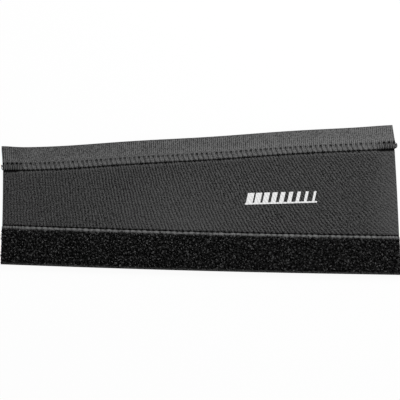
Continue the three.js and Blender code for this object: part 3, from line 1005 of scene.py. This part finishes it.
def zigzag_needle_line():
    shoulder = HOOK_TAPE_EDGE + 0.3
    middle = (NEEDLE_LINE + shoulder) / 2
    on_tape, on_shoulder = float(hook_tape_top(NEEDLE_LINE)), float(hook_tape_top(shoulder))
    in_crease = float(sheet_top(CREASE)) + THREAD / 2 - CREASE_DIVE
    spots = [(out, middle + over, on_tape + rise) for out, over, rise in START_KNOT]
    for start, end in stitches(zigzag_holes):
        outer = start + (end - start) * OUTER_SHARE
        on_leg = on_tape - LEG_SINK + TACKED_RISE * float(tacked(outer))
        spots += [(start, NEEDLE_LINE, on_tape - 0.5), (start + 0.1, NEEDLE_LINE - 0.3, on_tape - 0.35)]
        spots += [(start + (outer - start) * 0.2, NEEDLE_LINE - 0.8, on_tape - 0.08)]
        spots += [((start + outer) / 2, middle, on_leg), (outer - 0.25, shoulder, on_shoulder)]
        spots += [(outer, CREASE + 0.2, in_crease), (outer + 0.25, shoulder, on_shoulder)]
        spots += [((end + outer) / 2, middle, on_leg)]
        spots += [(end - (end - outer) * 0.2, NEEDLE_LINE - 0.8, on_tape - 0.08)]
        spots += [(end - 0.1, NEEDLE_LINE - 0.3, on_tape - 0.35)]
    spots += [(zigzag_holes[-1], NEEDLE_LINE, on_tape - 0.2)]
    return spots + [(UPPER_EDGE + out, middle + over, on_tape + rise) for out, over, rise in END_KNOT]


def zigzag_bobbin_line():
    low, depth = 0.38, float(sheet_underside(NEEDLE_LINE))
    middle = (NEEDLE_LINE + CREASE) / 2
    spots = []
    for start, end in stitches(zigzag_holes):
        outer = start + (end - start) * OUTER_SHARE
        spots += [(start, NEEDLE_LINE, depth), ((start + outer) / 2, middle, low)]
        spots += [(outer, CREASE, depth), ((end + outer) / 2, middle, low)]
    return spots + [(zigzag_holes[-1], NEEDLE_LINE, depth)]


for side, line in (("needle_thread", zigzag_needle_line), ("bobbin_thread", zigzag_bobbin_line)):
    node = "hook_seam_" + side
    threads[node] = thread_piece(node + "_plies", line(), UPPER_EDGE, dark_thread)

# %% [markdown]
# ## The pile of loops
#
# The loop half of a hook-and-loop fastener is a forest of nylon loops, brushed so that they lie over in all
# directions. Geometry Nodes scatters points on the tape with a least distance between them, sets one small
# bent loop on each, and gives each its own turn, lean and size. Each loop also carries a random number, which
# its material turns into its own shade; the pale ones are painted glints, a painted highlight. Thousands of
# loops stay cheap as one loop has 48 triangles.
#
# The pile is three layers. Two dark ones of short loops cover the ground. The third stands above them with
# the pale loops, whose paleness is painted highlight, and as it is scattered by itself, the painted glints
# are spread evenly.

# %% Loop pile tree
loop_pile, ins, outs = growing_tree(
    "loop_pile",
    ("Spacing", FLOAT, 1.0 * MM),
    ("Loop height", FLOAT, 1.9 * MM),
    ("Loop width", FLOAT, 1.3 * MM),
    ("Yarn", FLOAT, 0.3 * MM),
    ("Palest", FLOAT, 1.0),
    ("Seed", INTEGER, 4),
)
tree = loop_pile
loop_shares = ((-0.2, 0.0, -0.08), (-1.1, -0.3, 1.35), (1.1, 0.5, 1.35), (0.2, 0.25, -0.08))
one_loop = bent_filament(tree, 6, ins["Yarn"], ins["Loop width"], ins["Loop height"], loop_shares)
scatter = {
    "Mesh": ins["Geometry"],
    "Distance Min": ins["Spacing"],
    "Density Max": 2.2e6,
    "Density Factor": put(tree, "GeometryNodeInputNamedAttribute", {"Name": "density"}, data_type="FLOAT"),
    "Seed": ins["Seed"],
}
points = put(tree, "GeometryNodeDistributePointsOnFaces", scatter, distribute_method="POISSON")
leaning = random_value(tree, (-1.0, -0.5, 0.0), (-0.1, 0.5, 6.283), 3, "FLOAT_VECTOR")
planting = {
    "Points": points,
    "Instance": one_loop,
    "Rotation": leaning,
    "Scale": random_value(tree, 0.75, 1.15, 5),
}
planted = put(tree, "GeometryNodeInstanceOnPoints", planting)
darkest = times(tree, ins["Palest"], 0.5)
marking = {"Geometry": planted, "Name": "shade", "Value": random_value(tree, darkest, ins["Palest"], 7)}
marked = put(tree, "GeometryNodeStoreNamedAttribute", marking, data_type="FLOAT", domain="INSTANCE")
end_tree(tree, ins, outs, marked, smooth=True)

# %% Pile material and pile
# From black nylon to the pale of a painted glint.
PILE_SHADES = (0.0005, 0.15)
PILE_PLACES = [1.7, 2.4, 3.2, 4.2, 12.0, 21.8, 22.8, 23.6]
PILE_DENSITIES = [0.25, 0.45, 0.8, 1, 1, 1, 0.8, 0.3]

pile_yarn, tree, shader = cloth_material("pile_yarn", 0.4, 0.0, specular=0.08)
fibre = grain(tree, object_mm(tree), 0.3)
tone = times(tree, fibre, 0.05, calc(tree, "POWER", mark_on(tree, "shade"), 2.5))
finish_cloth(tree, shader, blend_shades(tree, tone, *PILE_SHADES), times(tree, fibre, 0.1))

along, place = np.meshgrid(np.linspace(0, 1, 131), PILE_PLACES, indexing="ij")
density = np.interp(place, PILE_PLACES, PILE_DENSITIES)
quads, _ = grid_quads(along.shape)
ground = lay(along, place, loop_tape_top(place)).reshape(-1, 3)
pile = []
for name, spacing, height, width, palest, seed in (
    ("loop_tape_pile_low", 0.82, 1.1, 0.85, 0.42, 4),
    ("loop_tape_pile_middle", 0.82, 1.4, 0.85, 0.48, 8),
    ("loop_tape_pile_high", 1.1, 1.65, 0.75, 1.0, 12),
):
    source = mesh_with_marks(name, ground, [], quads, density=density)
    sizes = {"Spacing": spacing * MM, "Loop_height": height * MM, "Loop_width": width * MM}
    pile.append(grow(name, source, loop_pile, **sizes, Palest=palest, Seed=seed, Material=pile_yarn))

# %% [markdown]
# ## The hooks
#
# The hooks point at the table, so only the underside shows them. They are single stiff filaments, woven into
# the tape as loops and then cut open, which leaves small crooks. Their roots follow the tape in straight
# lines, and neighbours face different ways so that they grip from any side.

# %% Hook tree
tape_hooks, ins, outs = growing_tree(
    "tape_hooks",
    ("Hook height", FLOAT, 1.55 * MM),
    ("Crook", FLOAT, 0.75 * MM),
    ("Filament", FLOAT, 0.2 * MM),
    ("Seed", INTEGER, 9),
)
tree = tape_hooks
hook_shares = ((0.0, 0.0, 0.08), (-0.1, 0.0, -1.15), (1.15, 0.0, -1.4), (1.0, 0.0, -0.5))
hook_sizes = (ins["Filament"], ins["Crook"], ins["Hook height"])
one_hook = bent_filament(tree, 8, *hook_sizes, hook_shares, **{"Fill Caps": True})
facing = calc(tree, "FLOOR", random_value(tree, 0.0, 2.0, ins["Seed"]))
jitter = random_value(tree, -0.35, 0.35, 2)
turn = times(tree, facing, math.pi, calc(tree, "ADD", jitter, math.pi / 2))
aim = put(tree, "ShaderNodeCombineXYZ", {2: turn})
planting = {"Points": ins["Geometry"], "Instance": one_hook, "Rotation": aim}
end_tree(tree, ins, outs, put(tree, "GeometryNodeInstanceOnPoints", planting), smooth=True)

# %% Hook material and hooks
HOOK_ROW, HOOK_STEP = 1.15, 1.25

hook_filament, tree, shader = cloth_material("hook_filament", 0.35, 0.0, specular=0.5)
patch = grain(tree, object_mm(tree), 1.2)
shade = blend_shades(tree, calc(tree, "ADD", patch, 0.5), 0.06, 0.18)
finish_cloth(tree, shader, shade, times(tree, patch, 0.05))

hook_rows = np.arange(SHEET_EDGE + 0.9, WIDE_WIDTH - 1.6, HOOK_ROW)
hook_columns = np.arange(0.8, UPPER_EDGE - 1.2, HOOK_STEP)
distance, place = np.meshgrid(hook_columns, hook_rows, indexing="ij")
distance = distance + (np.arange(len(hook_rows)) % 2) * 0.6
roots = lay(distance / UPPER_EDGE, place, hook_tape_underside(place)).reshape(-1, 3)
source = mesh_with_marks("hook_roots", roots, [], [])
hooks = grow("hook_tape_hooks", source, tape_hooks, Material=hook_filament)

# %% [markdown]
# ## Riding on the body, and hiding the plain solids
#
# Each new piece rides on the model's only body, and the plain solid that it replaces is hidden. The panel's
# area, as it was cut, is worked out and printed.

# %% Rides, and the plain solids hidden
for piece in (panel, hook_tape, hooks, loop_tape, *pile, *threads.values()):
    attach(piece, "root")
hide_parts("neoprene_panel")
for node, dressing in (("hook_tape", (hook_tape, hooks)), ("loop_tape", (loop_tape, *pile))):
    for piece in dressing:
        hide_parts(node)
for node, thread in threads.items():
    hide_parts(node)

PANEL_AREA = (NARROW_WIDTH + WIDE_WIDTH) / 2 * (LOWER_EDGE + UPPER_EDGE) / 2
PANEL_AREA -= (HOOK_TAPE_WIDTH - HOOK_TAPE_LAP) * UPPER_EDGE
print("panel area", round(PANEL_AREA * MM**2, 5), "m2")

# %% [markdown]
# ## Table, light and camera
#
# The photo is a product shot from straight above on white, lit softly from beyond the upper edge. The table
# is a large plane that shows itself to the camera as nearly white but still takes a faint shadow. The camera
# stands high with a long lens, so the strip keeps its true proportions, and it is turned by the small angle
# by which the strip was laid askew.

# %% Table and world
TABLE_REACH, TABLE_TOP = 3, -0.0003
TABLE_GLOW = 0.94
SKY = 0.45

corners = [(x * TABLE_REACH, y * TABLE_REACH, TABLE_TOP) for x, y in ((-1, -1), (1, -1), (1, 1), (-1, 1))]
table_mesh = bpy.data.meshes.new("table")
table_mesh.from_pydata(corners, [], [(0, 1, 2, 3)])
table = bpy.data.objects.new("table", table_mesh)
bpy.context.scene.collection.objects.link(table)


def seen_plainly(tree):
    """1 for the rays that show a background: straight from the camera, or by way of gloss or glass."""
    path = put(tree, "ShaderNodeLightPath").node.outputs
    total = calc(tree, "ADD", path["Is Camera Ray"], path["Is Glossy Ray"])
    rays = {0: total, 1: path["Is Transmission Ray"]}
    return put(tree, "ShaderNodeMath", rays, operation="ADD", use_clamp=True)


white = bpy.data.materials.new("table_white")
white.use_nodes = True
tree = white.node_tree
tree.nodes.clear()
paint = put(tree, "ShaderNodeBsdfDiffuse", {"Color": (0.9, 0.9, 0.9, 1)})
glow = put(tree, "ShaderNodeEmission", {"Color": (1, 1, 1, 1), "Strength": 1.0})
share = times(tree, seen_plainly(tree), TABLE_GLOW)
surface = put(tree, "ShaderNodeMixShader", {0: share, 1: paint, 2: glow})
tree.links.new(surface, put(tree, "ShaderNodeOutputMaterial").inputs["Surface"])
table_mesh.materials.append(white)

world = bpy.data.worlds.new("studio")
world.use_nodes = True
world.node_tree.nodes["Background"].inputs["Color"].default_value = (1, 1, 1, 1)
world.node_tree.nodes["Background"].inputs["Strength"].default_value = SKY
bpy.context.scene.world = world
print("table", 2 * TABLE_REACH, "m wide")

# %% Lamp and camera
LAMP_PLACE = Vector((0.25, 0.5, 0.5))
lamp_data = bpy.data.lights.new("softbox", "AREA")
lamp_data.shape = "SQUARE"
lamp_data.size = 0.3
lamp_data.energy = 4.6
lamp = bpy.data.objects.new("softbox", lamp_data)
lamp.location = LAMP_PLACE
lamp.rotation_euler = (-LAMP_PLACE).to_track_quat("-Z", "Y").to_euler()
bpy.context.scene.collection.objects.link(lamp)

PICTURE_WIDTH = 260.5
PICTURE_MIDDLE = (0.08, 2.02, 4)
CAMERA_HEIGHT = 1200.0
CAMERA_TURN = -0.79
camera_data = bpy.data.cameras.new("camera")
camera_data.lens = camera_data.sensor_width * CAMERA_HEIGHT / PICTURE_WIDTH
camera = bpy.data.objects.new("camera", camera_data)
camera.location = (PICTURE_MIDDLE[0] * MM, PICTURE_MIDDLE[1] * MM, (CAMERA_HEIGHT + PICTURE_MIDDLE[2]) * MM)
camera.rotation_euler = (0, 0, math.radians(CAMERA_TURN))
bpy.context.scene.collection.objects.link(camera)
bpy.context.scene.camera = camera
bpy.context.scene.view_settings.view_transform = "Standard"
print("lens", round(camera_data.lens, 1), "mm")
